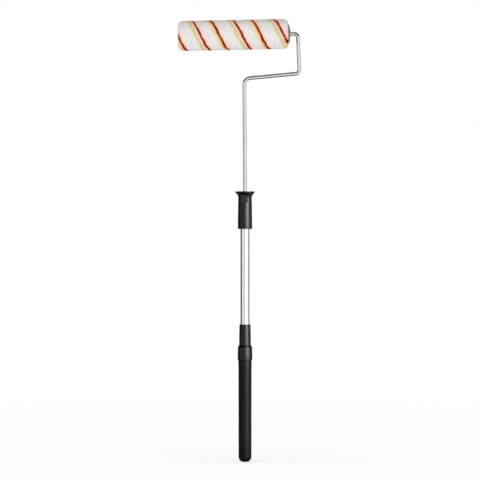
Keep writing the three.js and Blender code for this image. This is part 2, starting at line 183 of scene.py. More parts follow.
def sweep(name, points, bar_radius, place=None, sides=BAR_SIDES):
    """A round bar along points in millimetres, with a small round on both ends."""
    points = [Vector(p) * MM for p in points]
    size = bar_radius * MM
    inset = BAR_END_ROUND * size
    headings = [(b - a).normalized() for a, b in zip(points, points[1:])]
    tangents = [(a + b).normalized() for a, b in zip(headings, headings[1:])]
    first, last = headings[0], headings[-1]
    stations = [(points[0], first, size - inset), (points[0] + first * inset, first, size)]
    stations += [(p, t, size) for p, t in zip(points[1:-1], tangents)]
    stations += [(points[-1] - last * inset, last, size), (points[-1], last, size - inset)]
    across = first.orthogonal().normalized()
    vertices = []
    for centre, tangent, reach in stations:
        across = (across - tangent * across.dot(tangent)).normalized()
        upward = tangent.cross(across)
        for side in range(sides):
            angle = 2 * math.pi * side / sides
            vertices.append(centre + (across * math.cos(angle) + upward * math.sin(angle)) * reach)
    faces = [list(range(sides))[::-1], list(range(len(vertices) - sides, len(vertices)))]
    for row in range(len(stations) - 1):
        base = row * sides
        for side in range(sides):
            after = (side + 1) % sides
            faces.append([base + side, base + after, base + sides + after, base + sides + side])
    return mesh_object(name, vertices, faces, place)


def bent_line(corners, bends, steps=BEND_STEPS):
    """Points of a line with straight runs and round bends, one bend for each inner corner."""
    points = [corners[0]]
    for i, bend in enumerate(bends):
        before = (corners[i + 1] - corners[i]).normalized()
        after = (corners[i + 2] - corners[i + 1]).normalized()
        turn = before.angle(after)
        inward = (after - before * after.dot(before)).normalized()
        centre = corners[i + 1] - before * bend * math.tan(turn / 2) + inward * bend
        for step in range(steps + 1):
            angle = turn * step / steps
            points.append(centre - inward * bend * math.cos(angle) + before * bend * math.sin(angle))
    points.append(corners[-1])
    return points


def prism(outline, start, end, place=None):
    """A cutter: a flat outline of (x, y) in millimetres, pushed along Z from start to end."""
    count = len(outline)
    vertices = [(x * MM, y * MM, z * MM) for z in (start, end) for x, y in outline]
    faces = [list(range(count))[::-1], list(range(count, 2 * count))]
    for i in range(count):
        after = (i + 1) % count
        faces.append([i, after, count + after, count + i])
    return mesh_object("cutter", vertices, faces, place)


def box_outline(x, y, width, height):
    """A rectangle round a middle point."""
    signs = ((-1, -1), (1, -1), (1, 1), (-1, 1))
    return [(x + sx * width / 2, y + sy * height / 2) for sx, sy in signs]


def hole_outline(centre, radius):
    """A round hole about a centre."""
    return arc(centre, (radius, radius), 0, 360 - 360 / HOLE_SIDES, HOLE_SIDES - 1)


def slot_outline(centre, radius, top):
    """A slot with a round foot about a centre and a flat top."""
    x = centre[0]
    return arc(centre, (radius, radius), 180, 360, SLOT_STEPS) + [(x + radius, top), (x - radius, top)]


def groove(start, wall, width, radii, size):
    """Corners of a groove from its start upwards, with walls that slope over a height.

    Radii are the ones below it, at its bottom and above it, and size is the fillet of its edges."""
    below, bottom, above = radii
    return [
        (below, start, size), (bottom, start + wall, GROOVE_FILLET),
        (bottom, start + wall + width, GROOVE_FILLET), (above, start + 2 * wall + width, size),
    ]


def front_place():
    """Places a flat outline on the front: its X to the right, its Y up, its Z towards the viewer."""
    return Matrix.Rotation(math.pi / 2, 4, "X")


def cut_away(piece, cutter):
    """Subtract a cutter from a piece and drop the cutter."""
    modifier = piece.modifiers.new("cut", "BOOLEAN")
    modifier.operation = "DIFFERENCE"
    modifier.solver = "EXACT"
    modifier.object = cutter
    bpy.context.view_layer.update()
    posed = piece.evaluated_get(bpy.context.evaluated_depsgraph_get())
    cut_mesh = bpy.data.meshes.new_from_object(posed)
    piece.modifiers.clear()
    piece.data = cut_mesh
    bpy.data.objects.remove(cutter)
    piece.data.shade_smooth()
    piece.data.set_sharp_from_angle(angle=math.radians(CUT_SHARP_ANGLE))


def fit(piece, body, slot, material, *nodes):
    """Give a piece its material, let it stand for CAD nodes and ride on a body. Its slot is not used."""
    piece.data.materials.clear()
    piece.data.materials.append(material)
    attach(piece, body)
    if nodes:
        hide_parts(*nodes)
    return piece


# ---------------------------------------------------------------- material helpers

def srgb(code):
    """A linear colour from a hexadecimal sRGB code."""
    channels = [int(code[i:i + 2], 16) / 255 for i in (0, 2, 4)]
    linear = [c / 12.92 if c <= 0.04045 else ((c + 0.055) / 1.055) ** 2.4 for c in channels]
    return (*linear, 1)


def node(tree, kind, inputs=None, **settings):
    """A node with its settings and its inputs, each a value or another node's output."""
    made = tree.nodes.new(kind)
    for key, value in settings.items():
        setattr(made, key, value)
    for key, value in (inputs or {}).items():
        if isinstance(value, bpy.types.NodeSocket):
            tree.links.new(value, made.inputs[key])
        else:
            made.inputs[key].default_value = value
    return made


def new_material(name):
    """An empty node material and its shader."""
    material = bpy.data.materials.new(name)
    material.use_nodes = True
    return material, material.node_tree, material.node_tree.nodes["Principled BSDF"]


def object_point(tree, scale=(1, 1, 1)):
    """The place on the object, stretched by a scale."""
    place = node(tree, "ShaderNodeTexCoord").outputs["Object"]
    return node(tree, "ShaderNodeMapping", {"Vector": place, "Scale": scale}).outputs["Vector"]


def grain(tree, size, detail=3, scale=(1, 1, 1)):
    """Noise with features of a size in metres, from 0 to 1."""
    inputs = {"Vector": object_point(tree, scale), "Scale": 1 / size, "Detail": detail}
    return node(tree, "ShaderNodeTexNoise", inputs).outputs["Fac"]


def spread(tree, value, lowest, highest, middle=(0.3, 0.7)):
    """Stretch the middle of a noise over a range."""
    inputs = {"Value": value, "From Min": middle[0], "From Max": middle[1],
              "To Min": lowest, "To Max": highest}
    return node(tree, "ShaderNodeMapRange", inputs).outputs["Result"]


def ramp(tree, value, stops, interpolation="LINEAR"):
    """A colour ramp with stops of (position, colour code)."""
    made = node(tree, "ShaderNodeValToRGB", {"Fac": value})
    elements = made.color_ramp.elements
    made.color_ramp.interpolation = interpolation
    elements[0].position, elements[0].color = stops[0][0], srgb(stops[0][1])
    elements[1].position, elements[1].color = stops[-1][0], srgb(stops[-1][1])
    for position, code in stops[1:-1]:
        elements.new(position).color = srgb(code)
    return made.outputs["Color"]


def bump(tree, height, distance, strength):
    """A normal that follows a height, of which the whole range is a distance in metres."""
    inputs = {"Height": height, "Distance": distance, "Strength": strength}
    return node(tree, "ShaderNodeBump", inputs).outputs["Normal"]


def math_node(tree, operation, first, second=0.0):
    """One sum on numbers or sockets."""
    return node(tree, "ShaderNodeMath", {0: first, 1: second}, operation=operation).outputs[0]


def mix_colour(tree, share, first, second, blend="MIX"):
    """Mix two colours, each a socket or a value, by a share."""
    made = node(tree, "ShaderNodeMix", data_type="RGBA", blend_type=blend)
    inputs = [made.inputs["Factor"]] + [s for s in made.inputs if s.type == "RGBA"]
    for socket, value in zip(inputs, (share, first, second)):
        if isinstance(value, bpy.types.NodeSocket):
            tree.links.new(value, socket)
        else:
            socket.default_value = value
    return [output for output in made.outputs if output.type == "RGBA"][0]


def link(tree, output, shader, socket):
    """Link an output to one of the shader's inputs."""
    tree.links.new(output, shader.inputs[socket])


# ---------------------------------------------------------------- materials

STAIN_SIZE = 0.012
PATCH_SIZE = 0.02
BUMP_STRENGTH = 0.5


def metal(name, light, dark, rough, streak, texture, depth):
    """Plated or drawn metal: fine streaks along Z, faint stains, and wear in the roughness.

    Rough is its lowest and highest roughness, streak squeezes the noise along Z, texture is the
    streaks' width and depth their relief, both in metres."""
    material, tree, shader = new_material(name)
    shader.inputs["Metallic"].default_value = 1.0
    drawn = grain(tree, texture, 3, (1, 1, streak))
    stain = grain(tree, STAIN_SIZE, 4)
    link(tree, ramp(tree, stain, [(0.3, dark), (0.7, light)]), shader, "Base Color")
    worn = math_node(tree, "MULTIPLY", drawn, stain)
    link(tree, spread(tree, worn, *rough, middle=(0.1, 0.4)), shader, "Roughness")
    link(tree, bump(tree, drawn, depth, BUMP_STRENGTH), shader, "Normal")
    return material


def plastic(name, light, dark, rough, texture, depth, specular=0.5):
    """Moulded plastic: slight shade changes, a fine moulded texture and rubbed patches.

    Texture is the size of the moulded grain and depth its relief, both in metres."""
    material, tree, shader = new_material(name)
    shader.inputs["Specular IOR Level"].default_value = specular
    patch = grain(tree, PATCH_SIZE, 4)
    fine = grain(tree, texture, 4)
    link(tree, ramp(tree, patch, [(0.3, dark), (0.7, light)]), shader, "Base Color")
    link(tree, spread(tree, patch, *rough), shader, "Roughness")
    link(tree, bump(tree, fine, depth, BUMP_STRENGTH), shader, "Normal")
    return material


def finishes():
    """Every material but the pile's, by a short name."""
    return {
        "rod": metal("rod_plating", "d6d7d9", "cacbce", (0.025, 0.05), 0.05, 0.002, 0.0000004),
        "drawn": metal("tube_polish", "eeefed", "e4e5e3", (0.06, 0.09), 0.02, 0.002, 0.0000004),
        "zinc": metal("cage_zinc", "9c9ea0", "7e8082", (0.3, 0.45), 1.0, 0.0012, 0.000008),
        "black": plastic("moulded_black", "070606", "040404", (0.32, 0.38), 0.0009, 0.000006, 0.33),
        "matt": plastic("matt_black", "0a0a0a", "070707", (0.72, 0.8), 0.0009, 0.000015, 0.05),
        "ring": plastic("ring_black", "070606", "040404", (0.4, 0.46), 0.0009, 0.000006, 0.2),
        "soft": plastic("soft_grip", "0b0809", "070606", (0.44, 0.52), 0.0006, 0.00001, 0.14),
        "cap": plastic("cap_black", "090909", "060606", (0.5, 0.58), 0.0009, 0.000015, 0.11),
        "nylon": plastic("natural_nylon", "e4e1d8", "d8d4c8", (0.4, 0.55), 0.002, 0.00003),
        "core": plastic("core_plastic", "e6e2d8", "dad5c8", (0.45, 0.6), 0.0015, 0.00004),
    }


# ---------------------------------------------------------------- camera and light

PHOTO_WIDTH = 0.9936
PHOTO_CENTRE = Vector((-0.01035, 0, 0.4589))
CAMERA_DISTANCE = 6.0
CAMERA_REACH = 100
SENSOR = 36.0

KEY_AZIMUTH = 41
KEY_ELEVATION = 4
KEY_DISTANCE = 2.4
KEY_SIZE = (1.9, 2.0)
KEY_POWER = 154
KEY_AIM = 0.93
KEY_TINT = (1.0, 0.91, 0.935)

# What dull surfaces see: a level that grows from the side away from LIT_FROM to the side of it.
LIT_FROM = (0, -0.87, -0.5)
BACK_LIGHT = 0.07
FRONT_LIGHT = 1.48

# What polished surfaces see: walls once round from the back by the left, the front (0.5) and the
# right, times poles from straight down to straight up, times a brilliance.
BRILLIANCE = 1.27
WALLS = [
    (0.0, "646464"), (0.07, "646464"), (0.085, "b4b4b4"), (0.13, "b4b4b4"), (0.15, "141414"),
    (0.25, "1c1c1c"), (0.275, "e2e2e0"), (0.34, "e0e1de"), (0.37, "d7d9d3"), (0.48, "bdbfba"),
    (0.5, "ffffff"), (0.724, "ffffff"), (0.744, "666666"), (0.79, "7e7e7e"), (0.815, "cccccc"),
    (0.87, "cccccc"), (0.89, "5c5c5c"), (0.93, "3c3c3c"), (1.0, "646464"),
]
POLES = [
    (0.06, "181818"), (0.12, "ffffff"), (0.62, "ffffff"), (0.68, "141414"), (0.955, "141414"),
    (0.985, "f4f4f4"),
]

FLOOR_HALF = 12
FLOOR_GAP = 0.0005
FLOOR_FADE = (0.4, 2.4)
FLOOR_GLOW_NEAR = "bcbcbc"
FLOOR_GLOW_FAR = "ffffff"


def add_camera():
    """A long lens, level with the middle of the tool and square to its front."""
    data = bpy.data.cameras.new("camera")
    data.sensor_width = SENSOR
    data.lens = SENSOR * CAMERA_DISTANCE / PHOTO_WIDTH
    data.clip_end = CAMERA_REACH
    camera = bpy.data.objects.new("camera", data)
    camera.location = PHOTO_CENTRE - Vector((0, CAMERA_DISTANCE, 0))
    camera.rotation_euler = (math.pi / 2, 0, 0)
    bpy.context.scene.collection.objects.link(camera)
    bpy.context.scene.camera = camera


def add_key_light():
    """A soft box to the right of the front. Returns the collection of pieces that it lights."""
    data = bpy.data.lights.new("key", "AREA")
    data.shape = "RECTANGLE"
    data.size, data.size_y = KEY_SIZE
    data.energy = KEY_POWER
    data.color = KEY_TINT
    light = bpy.data.objects.new("key", data)
    side, lift = math.radians(KEY_AZIMUTH), math.radians(KEY_ELEVATION)
    away = Vector((math.sin(side) * math.cos(lift), -math.cos(side) * math.cos(lift), math.sin(lift)))
    light.location = Vector((0, 0, KEY_AIM)) + away * KEY_DISTANCE
    light.rotation_euler = away.to_track_quat("Z", "Y").to_euler()
    light.visible_diffuse = False
    light.light_linking.receiver_collection = bpy.data.collections.new("moulded_pieces")
    bpy.context.scene.collection.objects.link(light)
    return light.light_linking.receiver_collection


def add_world():
    """A room that is plain white to the camera, and as the values above say to every surface."""
    world = bpy.data.worlds.new("studio")
    world.use_nodes = True
    bpy.context.scene.world = world
    tree = world.node_tree
    tree.nodes.clear()
    direction = node(tree, "ShaderNodeTexCoord").outputs["Generated"]
    parts = node(tree, "ShaderNodeSeparateXYZ", {"Vector": direction}).outputs
    front = math_node(tree, "MULTIPLY", parts["Y"], -1.0)
    azimuth = math_node(tree, "ARCTAN2", parts["X"], front)
    turn = node(tree, "ShaderNodeMapRange", {
        "Value": azimuth, "From Min": -math.pi, "From Max": math.pi,
    }).outputs["Result"]
    lift = node(tree, "ShaderNodeMapRange", {"Value": parts["Z"], "From Min": -1.0}).outputs["Result"]
    walls = ramp(tree, turn, WALLS)
    poles = ramp(tree, lift, POLES)
    room = mix_colour(tree, 1.0, walls, poles, "MULTIPLY")
    polished = mix_colour(tree, 1.0, room, (BRILLIANCE, BRILLIANCE, BRILLIANCE, 1), "MULTIPLY")
    source = node(tree, "ShaderNodeVectorMath", {0: direction, 1: LIT_FROM}, operation="DOT_PRODUCT")
    level = node(tree, "ShaderNodeMapRange", {
        "Value": source.outputs["Value"], "From Min": -1.0, "From Max": 1.0,
        "To Min": BACK_LIGHT, "To Max": FRONT_LIGHT,
    }).outputs["Result"]
    rays = node(tree, "ShaderNodeLightPath").outputs
    dull = node(tree, "ShaderNodeCombineColor", {"Red": level, "Green": level, "Blue": level})
    lit = mix_colour(tree, rays["Is Glossy Ray"], dull.outputs[0], polished)
    seen = mix_colour(tree, rays["Is Camera Ray"], lit, (1, 1, 1, 1))
    background = node(tree, "ShaderNodeBackground", {"Color": seen, "Strength": 1.0})
    output = node(tree, "ShaderNodeOutputWorld")
    tree.links.new(background.outputs[0], output.inputs["Surface"])


def add_floor():
    """A wide pale floor just under the butt. It turns from lit to glowing with distance."""
    half = FLOOR_HALF
    corners = [(-half, -half, 0), (half, -half, 0), (half, half, 0), (-half, half, 0)]
    floor = mesh_object("floor", corners, [(0, 1, 2, 3)])
    material, tree, shader = new_material("pale_floor")
    shader.inputs["Roughness"].default_value = 0.9
    shader.inputs["Specular IOR Level"].default_value = 0.1
    distance = node(tree, "ShaderNodeVectorMath", {0: object_point(tree)}, operation="LENGTH")
    fade = node(tree, "ShaderNodeMapRange", {
        "Value": distance.outputs["Value"], "From Min": FLOOR_FADE[0], "From Max": FLOOR_FADE[1],
    }).outputs["Result"]
    pale = ramp(tree, grain(tree, 0.4), [(0.3, "f2f2f1"), (0.7, "f6f6f5")])
    link(tree, mix_colour(tree, fade, pale, (0, 0, 0, 1)), shader, "Base Color")
    glow = mix_colour(tree, fade, srgb(FLOOR_GLOW_NEAR), srgb(FLOOR_GLOW_FAR))
    link(tree, glow, shader, "Emission Color")
    shader.inputs["Emission Strength"].default_value = 1.0
    floor.data.materials.append(material)
    floor.location.z = CAD_BOX[0][2] - FLOOR_GAP
    floor.visible_glossy = False


# ---------------------------------------------------------------- nap cover

COVER_HALF = 113.2 * MM
NAP_RADIUS = 30.35 * MM
NAP_INNER = 20.8 * MM
NAP_BORE = NAP_INNER - 0.05 * MM
NAP_CORNER = 9.5 * MM
BORE_SHARE = 0.995
ROWS_CORNER = 12
ROWS_ALONG = 190
ROWS_END = 5
SIDES_ROUND = 330

# Two spiral stripes of one lead. STRIPE_A is where stripe A crosses the front, and A_AT and B_AT
# are the stripes' places in one lead. The wave and the fuzz that unsettle them are shares of the
# lead. Stops are millimetres along the axle from the dark line's middle, with a colour.
STRIPE_LEAD = 85 * MM
STRIPE_A = 17.6 * MM
STRIPE_A_AT = 0.36
STRIPE_B_AT = STRIPE_A_AT + 0.446
STRIPE_WAVE = 0.017
STRIPE_FUZZ = 0.003
WAVE_SIZE = 0.016
FUZZ_SIZE = 0.0022
MOTTLE_SIZE = 0.004
TUFT_SIZE = 0.0011
TUFT_DEPTH = 0.0006
PILE_WHITE = "f2f0ef"
STRIPE_A_STOPS = [
    (-20, PILE_WHITE), (-15.5, "f6f0da"), (-12.8, "efe6c0"), (-11.2, "d8c698"), (-9.0, "f6d6b6"),
    (-4.6, "ffd4b8"), (-2.3, "f59a7c"), (-1.45, "5c0500"), (1.25, "5c0500"), (2.2, "f2a79c"),
    (4.5, "ffd8d0"), (9.4, PILE_WHITE),
]
STRIPE_B_STOPS = [
    (-15, PILE_WHITE), (-10.5, "f8eacc"), (-6.6, "ffdcac"), (-2.5, "ee9a62"), (-1.45, "600a00"),
    (1.2, "5a0600"), (2.3, "f4a890"), (5.2, "ffe2d6"), (10, PILE_WHITE),
]

# Relief in millimetres: noise as (height, rate), and what runs along each dark line as (height,
# place along the axle, width).
PILE_NOISE = [(0.4, 38), (0.3, 210), (0.2, 560)]
STRIPE_RELIEF = [(0.5, -4, 3.5), (-0.35, 0.5, 1.5)]
END_RISE = 0.2 * MM

YARN_TIPS = 45000
TIP_LEAN = 0.75
TIP_LENGTH = (1.0, 1.9)
TIP_WIDTH = (0.16, 0.28)
TIP_ROOT = 0.5 * MM


def nap_material():
    """White pile with two spiral stripes, each a maroon line between bands of warm colour."""
    material, tree, shader = new_material("nap_pile")
    place = node(tree, "ShaderNodeTexCoord").outputs["Object"]
    parts = node(tree, "ShaderNodeSeparateXYZ", {"Vector": place}).outputs
    angle = math_node(tree, "ARCTAN2", parts["Y"], parts["X"])
    turns = math_node(tree, "DIVIDE", angle, 2 * math.pi)
    along = math_node(tree, "SUBTRACT", parts["Z"], STRIPE_A)
    phase = math_node(tree, "SUBTRACT", math_node(tree, "DIVIDE", along, STRIPE_LEAD), turns)
    wave = spread(tree, grain(tree, WAVE_SIZE, 3), -STRIPE_WAVE, STRIPE_WAVE)
    fuzz = spread(tree, grain(tree, FUZZ_SIZE, 2), -STRIPE_FUZZ, STRIPE_FUZZ)
    moved = math_node(tree, "ADD", math_node(tree, "ADD", phase, STRIPE_A_AT),
                      math_node(tree, "ADD", wave, fuzz))
    stops = [(middle + offset * MM / STRIPE_LEAD, code)
             for middle, stripe in ((STRIPE_A_AT, STRIPE_A_STOPS), (STRIPE_B_AT, STRIPE_B_STOPS))
             for offset, code in stripe]
    colours = ramp(tree, math_node(tree, "FRACT", moved), stops)
    mottle = spread(tree, grain(tree, MOTTLE_SIZE, 4), 0.93, 1.03)
    shade = node(tree, "ShaderNodeCombineColor", {"Red": mottle, "Green": mottle, "Blue": mottle})
    tinted = mix_colour(tree, 1.0, colours, shade.outputs[0], "MULTIPLY")
    link(tree, tinted, shader, "Base Color")
    tufts = grain(tree, TUFT_SIZE, 3)
    link(tree, bump(tree, tufts, TUFT_DEPTH, BUMP_STRENGTH), shader, "Normal")
    link(tree, spread(tree, grain(tree, 0.003), 0.85, 1.0), shader, "Roughness")
    shader.inputs["Specular IOR Level"].default_value = 0.02
    return material


def nap_outline():
    """Rows of (radius, along, normal radius, normal along) from one inner edge to the other."""
    corner = NAP_RADIUS - NAP_CORNER
    half = []
    for row in range(ROWS_END):
        half.append((NAP_INNER + (corner - NAP_INNER) * row / ROWS_END, -COVER_HALF, 0, -1))
    for row in range(ROWS_CORNER):
        angle = math.pi / 2 * row / ROWS_CORNER
        out, back = math.sin(angle), math.cos(angle)
        half.append((corner + NAP_CORNER * out, -COVER_HALF + NAP_CORNER * (1 - back), out, -back))
    reach = COVER_HALF - NAP_CORNER
    shares = [-1 + 2 * row / ROWS_ALONG for row in range(ROWS_ALONG + 1)]
    middle = [(NAP_RADIUS, reach * share, 1, 0) for share in shares]
    mirrored = [(r, -z, nr, -nz) for r, z, nr, nz in half]
    return np.array(half + middle + mirrored[::-1])


def pile_height(angle, along):
    """How far the pile stands above its mean: waves, tufts, and relief along each dark line."""
    point = Vector((math.cos(angle) * NAP_RADIUS, math.sin(angle) * NAP_RADIUS, along))
    lift = sum(height * noise.noise(point * rate) for height, rate in PILE_NOISE)
    phase = (along - STRIPE_A) / STRIPE_LEAD - angle / (2 * math.pi)
    for offset in (0, STRIPE_B_AT - STRIPE_A_AT):
        away = ((phase - offset + 0.5) % 1 - 0.5) * STRIPE_LEAD / MM
        for height, place, width in STRIPE_RELIEF:
            lift += height * math.exp(-((away - place) / width) ** 2)
    return lift * MM


def nap_surface():
    """Points and normals of the pile's surface, by row and by side."""
    outline = nap_outline()
    angles = np.arange(SIDES_ROUND) * 2 * math.pi / SIDES_ROUND
    lift = np.array([[pile_height(angle, along) for angle in angles] for along in outline[:, 1]])
    radial, along, normal_r, normal_z = (outline[:, i, None] for i in range(4))
    size = radial + normal_r * lift
    rise = along + normal_z * np.minimum(lift, END_RISE)
    points = np.stack([size * np.cos(angles), size * np.sin(angles), rise], axis=2)
    flat = np.ones_like(lift)
    normals = np.stack([normal_r * np.cos(angles), normal_r * np.sin(angles), normal_z * flat], axis=2)
    return points, normals


def nap_sleeve(points, material):
    """The pile's body: a fine sleeve with rounded ends, closed by a smooth bore."""
    bore = []
    for end in (BORE_SHARE * COVER_HALF, -BORE_SHARE * COVER_HALF):
        ring = points[0] * (1, 1, 0)
        ring *= NAP_BORE / np.linalg.norm(ring, axis=1)[:, None]
        bore.append(ring + (0, 0, end))
    grid = np.concatenate([points, np.array(bore)])
    rows = len(grid)
    faces = []
    for row in range(rows):
        upper = (row + 1) % rows
        for side in range(SIDES_ROUND):
            after = (side + 1) % SIDES_ROUND
            faces.append((row * SIDES_ROUND + side, row * SIDES_ROUND + after,
                          upper * SIDES_ROUND + after, upper * SIDES_ROUND + side))
    piece = mesh_object("nap_sleeve", grid.reshape(-1, 3), faces, roller_frame(), sharp_angle=ALL_SMOOTH)
    return fit(piece, "cover", "nap", material, "nap_cover")


def nap_tips(name, seed, points, normals, material):
    """Tips of yarn that lean out of the pile, spread evenly over its surface."""
    rng = np.random.default_rng(seed)
    widths = np.linalg.norm(points[:, 0, :2], axis=1)
    steps = np.linalg.norm(points[1:, 0] - points[:-1, 0], axis=1)
    areas = steps * (widths[1:] + widths[:-1])
    row = rng.choice(len(areas), YARN_TIPS, p=areas / areas.sum())
    side = rng.integers(0, SIDES_ROUND, YARN_TIPS)
    up, round_by = rng.random((2, YARN_TIPS, 1))
    after = (side + 1) % SIDES_ROUND
    here = points[row, side] * (1 - up) + points[row + 1, side] * up
    beside = points[row, after] * (1 - up) + points[row + 1, after] * up
    root = here * (1 - round_by) + beside * round_by
    normal = normals[row, side]
    lean = normal + rng.uniform(-TIP_LEAN, TIP_LEAN, (YARN_TIPS, 3))
    lean /= np.linalg.norm(lean, axis=1)[:, None]
    side_a = np.cross(lean, normal + rng.uniform(-1, 1, (YARN_TIPS, 3)))
    side_a /= np.linalg.norm(side_a, axis=1)[:, None]
    side_b = np.cross(lean, side_a)
    length = rng.uniform(*TIP_LENGTH, (YARN_TIPS, 1)) * MM
    width = rng.uniform(*TIP_WIDTH, (YARN_TIPS, 1)) * MM
    foot = root - normal * TIP_ROOT
    corners = [foot + (side_a * math.cos(turn) + side_b * math.sin(turn)) * width
               for turn in (0, 2 * math.pi / 3, 4 * math.pi / 3)]
    vertices = np.stack([*corners, foot + lean * length], axis=1).reshape(-1, 3)
    faces = [(base + a, base + b, base + c) for base in range(0, len(vertices), 4)
             for a, b, c in ((2, 1, 0), (0, 1, 3), (1, 2, 3), (2, 0, 3))]
    piece = mesh_object(name, vertices, faces, roller_frame(), sharp_angle=ALL_SMOOTH)
    return fit(piece, "cover", "nap", material)


# ---------------------------------------------------------------- roller core and cage

# From here on sizes are in millimetres. A corner of an outline is (radius, height, fillet), or
# (radius, height) where it stays sharp. A name in _AT is measured from an edge of its own piece,
# and a lip is (radius, height). PLATE's corners are a cap's pressed plate above its face.

CLEARANCE = 0.3
CUT_OVERRUN = 1
ROD_RADIUS = 3.85
CORE_WALL = 1.45
WIRE_COUNT = 5
WIRE_RADIUS = 1.25
WIRE_CIRCLE = 16.2
WIRE_BOW = 1.2
WIRE_GRIP = 7
WIRE_STEPS = 40
WIRE_SIDES = 24
WIRE_ANGLES = [math.radians(90 + 360 / WIRE_COUNT * (i + 0.5)) for i in range(WIRE_COUNT)]
CAP_DEPTH = 11
CAP_DISH = 2.9
CAP_RIM = 0.8
HUB_RADIUS = 8.8
HUB_BORE = 6.6
HUB_DEPTH = 15
SKIRT_INNER = 14
SKIRT_RADIUS = 18.6
RIB_COUNT = 10
RIB_HEIGHT = 0.45
RIB_INNER = 11.5
RIB_OUTER = 16.9
PLATE_RISE = 1.3
PLATE = [
    (17.6, 1.0, 0.5), (16.8, 1.9, 0.4), (15.2, 2.0), (13.4, 2.1), (11.6, 2.2, 0.4), (10.8, 1.3, 0.5),
    (9.6, 1.4, 0.4),
]
BUSH_RADIUS = 6.3
BUSH_FLANGE = 8.2
BUSH_FLANGE_THICK = 0.9
BUSH_LENGTH = 19.1
PUSH_NUT_TEETH = 6
TOOTH_SLOT_AT = 0.6
TOOTH_SLOT_LENGTH = 2.4
TOOTH_SLOT_WIDTH = 0.7
DISH_FOOT_RADIUS = 5.6
DISH_FOOT = 0.35
DISH_TOP_RADIUS = 5.8
DISH_TOP = 0.4


def facing(name):
    """The roller's place for a piece that faces the leg, or turned about for the free end."""
    lowest, highest, _ = on_roller(name)
    turn = Matrix.Rotation(math.pi, 4, "Y") if lowest + highest < 0 else Matrix.Identity(4)
    return roller_frame() @ turn, max(-lowest, highest)


def core_tube(finish):
    """The stiff tube that the pile is bonded to."""
    lowest, highest, outer = on_roller("cover_core")
    inner = outer - CORE_WALL
    outline = [(inner, lowest, 0.3), (outer, lowest, 0.4), (outer, highest, 0.4), (inner, highest, 0.3)]
    piece = turned("cover_core_fine", outline, roller_frame())
    fit(piece, "cover", "core", finish, "cover_core")


def pressed_ribs(face):
    """Shallow ribs pressed round the plate of a cage cap."""
    def press(distance, height, angle):
        on_plate = height > face + PLATE_RISE and RIB_INNER < distance < RIB_OUTER
        return RIB_HEIGHT * max(0.0, math.cos(RIB_COUNT * angle)) ** 2 if on_plate else 0.0
    return press


def cage_cap(name, finish):
    """Pressed cap: hub, wire ring, dished plate with ribs and, at the leg, a flange."""
    place, top = facing(name)
    face = top - CAP_DISH
    outer = on_roller(name)[2]
    flanged = outer > SKIRT_RADIUS + 1
    flange = [(outer, face, 0.25), (outer, face + CAP_RIM, 0.35)] if flanged else []
    hub_foot, hub_top, skirt_foot = face - HUB_DEPTH, face + CAP_DISH, face - CAP_DEPTH
    outline = [
        (HUB_BORE, hub_foot, 0.3), (HUB_RADIUS, hub_foot, 0.5), (HUB_RADIUS, face, 0.8),
        (SKIRT_INNER, face, 0.8), (SKIRT_INNER, skirt_foot, 0.4), (SKIRT_RADIUS, skirt_foot, 0.8),
        (SKIRT_RADIUS, face if flanged else face + 1.0, 0.5), *flange,
        *[(radius, face + rise, *size) for radius, rise, *size in PLATE],
        (HUB_RADIUS, hub_top, 0.5), (HUB_BORE, hub_top, 0.3),
    ]
    piece = turned(name + "_fine", outline, place, press=pressed_ribs(face))
    for angle in WIRE_ANGLES:
        centre = (WIRE_CIRCLE * math.cos(angle), WIRE_CIRCLE * math.sin(angle))
        hole = hole_outline(centre, WIRE_RADIUS + CLEARANCE)
        cut_away(piece, prism(hole, skirt_foot - CUT_OVERRUN, skirt_foot + WIRE_GRIP, place))
    fit(piece, "cage", "cage_steel", finish, name)


def cage_wire(index, angle, finish):
    """A wire that bows outwards between the caps and grips the cover's core."""
    name = f"cage_wire_{index}"
    lowest, highest, _ = on_roller(name)
    points = []
    for step in range(WIRE_STEPS + 1):
        share = -1 + 2 * step / WIRE_STEPS
        distance = WIRE_CIRCLE + WIRE_BOW * (1 - share * share)
        along = (lowest + highest) / 2 + share * (highest - lowest) / 2
        points.append((distance * math.cos(angle), distance * math.sin(angle), along))
    piece = sweep(name + "_fine", points, WIRE_RADIUS, roller_frame(), sides=WIRE_SIDES)
    fit(piece, "cage", "cage_steel", finish, name)


def axle_bush(name, finish):
    """Flanged bush in a cap's hub, on which the cage spins."""
    place, top = facing(name)
    bore, foot, shoulder = ROD_RADIUS + CLEARANCE, top - BUSH_LENGTH, top - BUSH_FLANGE_THICK
    outline = [
        (bore, foot, 0.4), (BUSH_RADIUS, foot, 0.5), (BUSH_RADIUS, shoulder, 0.2),
        (BUSH_FLANGE, shoulder, 0.2), (BUSH_FLANGE, top, 0.45), (bore, top, 0.5),
    ]
    piece = turned(name + "_fine", outline, place)
    fit(piece, "cage", "nylon", finish, name)


def axle_ring(name, teeth, finish):
    """A pressed ring on the axle. A push nut has slots between the teeth that bite the rod."""
    lowest, highest, outer = on_roller(name)
    bore = ROD_RADIUS + CLEARANCE
    outline = [
        (bore, lowest, 0.15), (DISH_FOOT_RADIUS, lowest + DISH_FOOT, 0.4),
        (outer, lowest + DISH_FOOT, 0.3), (outer, highest, 0.45), (DISH_TOP_RADIUS, highest, 0.4),
        (bore, highest - DISH_TOP, 0.15),
    ]
    piece = turned(name + "_fine", outline, roller_frame())
    for i in range(teeth):
        turn = Matrix.Rotation(2 * math.pi * i / teeth, 4, "Z")
        slot = box_outline(bore + TOOTH_SLOT_AT, 0, TOOTH_SLOT_LENGTH, TOOTH_SLOT_WIDTH)
        cutter = prism(slot, lowest - CUT_OVERRUN, highest + CUT_OVERRUN, roller_frame() @ turn)
        cut_away(piece, cutter)
    fit(piece, "pole", "cage_steel", finish, name)


# ---------------------------------------------------------------- rod, collar and tube

